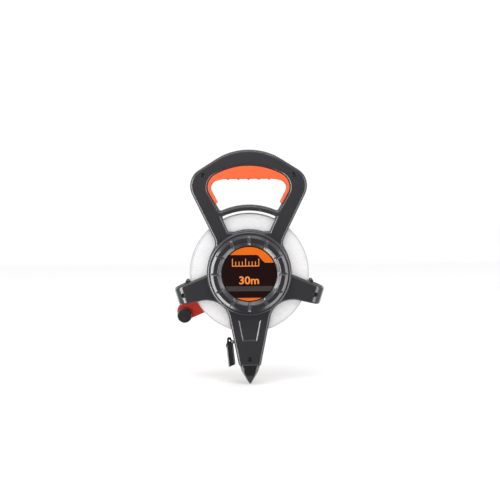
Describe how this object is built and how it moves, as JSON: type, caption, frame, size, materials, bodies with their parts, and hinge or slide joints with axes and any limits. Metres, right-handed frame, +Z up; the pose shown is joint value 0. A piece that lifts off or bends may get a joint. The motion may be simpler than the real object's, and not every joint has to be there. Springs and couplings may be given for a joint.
{
  "type": "tape measure",
  "caption": "Open-reel tape measure with a dark Y-shaped frame, orange-lined handle, white reel, red folding crank, end hook and ground spike.",
  "frame": {"origin": "on the reel's axis, midway between the two frame halves", "axes": "+Z up from the spike to the handle, the front (label side) faces -Y, +X to the right seen from the front"},
  "size_m": [0.1806, 0.0707, 0.285],
  "materials": {
    "frame_plastic": "dark grey moulded plastic with a fine grain",
    "grip_rubber": "orange soft-touch rubber",
    "rib_rubber": "dark soft rubber with cross ribs",
    "cover_plastic": "black plastic, half gloss",
    "label_film": "printed dark and orange film",
    "dark_steel": "blackened steel screws",
    "bearing_plastic": "off-white self-lubricating plastic",
    "spike_plastic": "black glossy glass-filled plastic",
    "bright_steel": "zinc-plated steel",
    "tape_fibreglass": "yellow coated glass-fibre tape",
    "rivet_brass": "brass rivet",
    "reel_plastic": "frosted white plastic",
    "crank_plastic": "red plastic, half gloss",
    "knob_plastic": "black plastic knob",
    "hook_plastic": "black glossy plastic"
  },
  "bodies": {
    "frame": {"front_frame": "frame_plastic", "rear_frame": "frame_plastic", "grip_insert": "grip_rubber", "handle_rib_strip": "rib_rubber", "hub_cover": "cover_plastic", "hub_label": "label_film", "frame_screws": "dark_steel", "front_bush": "bearing_plastic", "rear_bush": "bearing_plastic", "ground_spike": "spike_plastic", "roller_pins": "bright_steel", "tape_lead": "tape_fibreglass", "tape_end_clip": "bright_steel", "end_rivet": "rivet_brass"},
    "reel": {"axle_shaft": "bright_steel", "axle_clip": "dark_steel", "reel_drum": "reel_plastic", "front_flange": "reel_plastic", "rear_flange": "reel_plastic", "reel_screws": "dark_steel", "tape_coil": "tape_fibreglass", "crank_hub": "crank_plastic", "crank_hub_screw": "dark_steel", "crank_hinge_pin": "bright_steel"},
    "crank": {"crank_arm": "crank_plastic", "knob_pin": "bright_steel"},
    "knob": {"crank_knob": "knob_plastic"},
    "roller_upper": {"upper_guide_roller": "bearing_plastic"},
    "roller_lower": {"lower_guide_roller": "bearing_plastic"},
    "loop": {"end_loop": "bright_steel"},
    "hook": {"end_hook": "hook_plastic"}
  },
  "joints": [
    {"name": "reel_spin", "type": "hinge", "parent": "frame", "child": "reel", "pos_m": [0, 0, 0], "axis": [0, 1, 0], "continuous": true},
    {"name": "crank_fold", "type": "hinge", "parent": "reel", "child": "crank", "pos_m": [0, 0.03, 0], "axis": [0.5635, 0, -0.8261], "range_deg": [0, 180]},
    {"name": "knob_spin", "type": "hinge", "parent": "crank", "child": "knob", "pos_m": [-0.08013, 0.027, -0.05466], "axis": [0, 1, 0], "continuous": true},
    {"name": "roller_upper_spin", "type": "hinge", "parent": "frame", "child": "roller_upper", "pos_m": [-0.01468, 0, -0.07875], "axis": [0, 1, 0], "continuous": true},
    {"name": "roller_lower_spin", "type": "hinge", "parent": "frame", "child": "roller_lower", "pos_m": [-0.01183, 0, -0.08426], "axis": [0, 1, 0], "continuous": true},
    {"name": "loop_swing", "type": "hinge", "parent": "frame", "child": "loop", "pos_m": [-0.02, 0, -0.085], "axis": [0, 1, 0], "range_deg": [-2, 30]},
    {"name": "hook_swing", "type": "hinge", "parent": "loop", "child": "hook", "pos_m": [-0.0251, 0, -0.0822], "axis": [0, 1, 0], "range_deg": [-2, 90]}
  ]
}
